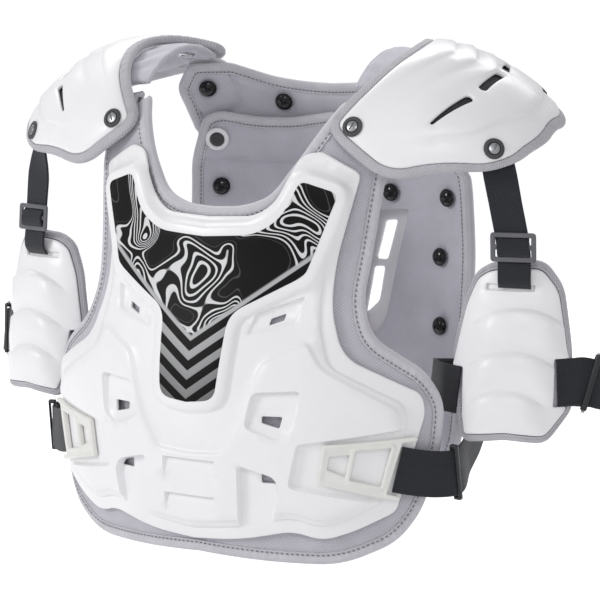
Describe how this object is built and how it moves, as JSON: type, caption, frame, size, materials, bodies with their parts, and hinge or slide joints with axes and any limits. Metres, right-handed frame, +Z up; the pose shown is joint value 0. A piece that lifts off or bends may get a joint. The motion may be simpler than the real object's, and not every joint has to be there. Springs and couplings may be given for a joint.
{
  "type": "roost deflector",
  "caption": "Motocross roost deflector: moulded chest and back plates over padded liners, with shoulder caps, arm guards and elastic straps.",
  "frame": {"origin": "the middle of the wearer's neck opening at the level of the shoulders, midway between chest and back, where the deflector rests on the shoulders", "axes": "+Z up, the wearer faces -Y, the wearer's left is +X"},
  "size_m": [0.5778, 0.298, 0.4098],
  "materials": {
    "white_plastic": "satin moulded, white",
    "clip_plastic": "matt moulded, off-white",
    "black_inlay": "satin printed inlay, black with grey marks",
    "mesh_cloth": "grey spacer mesh over foam",
    "binding_cloth": "smooth grey bound edge, stitched",
    "black_web": "woven black webbing and elastic",
    "black_plastic": "moulded, black",
    "screw_steel": "slotted screw on a black washer"
  },
  "bodies": {
    "root": {"arm_band_left": "black_web", "arm_band_right": "black_web", "arm_band_slider_left": "black_plastic", "arm_band_slider_right": "black_plastic", "arm_guard_left": "white_plastic", "arm_guard_right": "white_plastic", "arm_pad_left": "mesh_cloth", "arm_pad_right": "mesh_cloth", "arm_triglide_left": "black_plastic", "arm_triglide_right": "black_plastic", "arm_webbing_left": "black_web", "arm_webbing_right": "black_web", "back_binding_lower": "binding_cloth", "back_binding_upper": "binding_cloth", "back_liner_lower": "mesh_cloth", "back_liner_upper": "mesh_cloth", "back_rivet_chest_inner_left": "black_plastic", "back_rivet_chest_inner_right": "black_plastic", "back_rivet_chest_outer_left": "black_plastic", "back_rivet_chest_outer_right": "black_plastic", "back_rivet_ring_left": "white_plastic", "back_rivet_ring_right": "white_plastic", "back_rivet_ringed_left": "white_plastic", "back_rivet_ringed_right": "white_plastic", "back_rivet_side_high_left": "black_plastic", "back_rivet_side_high_right": "black_plastic", "back_rivet_side_low_left": "black_plastic", "back_rivet_side_low_right": "black_plastic", "back_rivet_top_inner_left": "black_plastic", "back_rivet_top_inner_right": "black_plastic", "back_rivet_top_outer_left": "black_plastic", "back_rivet_top_outer_right": "black_plastic", "back_shell": "white_plastic", "cap_screw_inner_back_left": "screw_steel", "cap_screw_inner_back_right": "screw_steel", "cap_screw_inner_front_left": "screw_steel", "cap_screw_inner_front_right": "screw_steel", "cap_screw_outer_back_left": "screw_steel", "cap_screw_outer_back_right": "screw_steel", "cap_screw_outer_front_left": "screw_steel", "cap_screw_outer_front_right": "screw_steel", "chest_binding": "binding_cloth", "chest_graphic_panel": "black_inlay", "chest_liner": "mesh_cloth", "chest_shell": "white_plastic", "shoulder_cap_left": "white_plastic", "shoulder_cap_right": "white_plastic", "shoulder_pad_left": "mesh_cloth", "shoulder_pad_right": "mesh_cloth", "shoulder_strap_left": "binding_cloth", "shoulder_strap_right": "binding_cloth", "waist_clip_left": "clip_plastic", "waist_clip_right": "clip_plastic", "waist_strap_left": "black_web", "waist_strap_right": "black_web", "waist_strap_slider_left": "black_plastic", "waist_strap_slider_right": "black_plastic"}
  },
  "joints": []
}
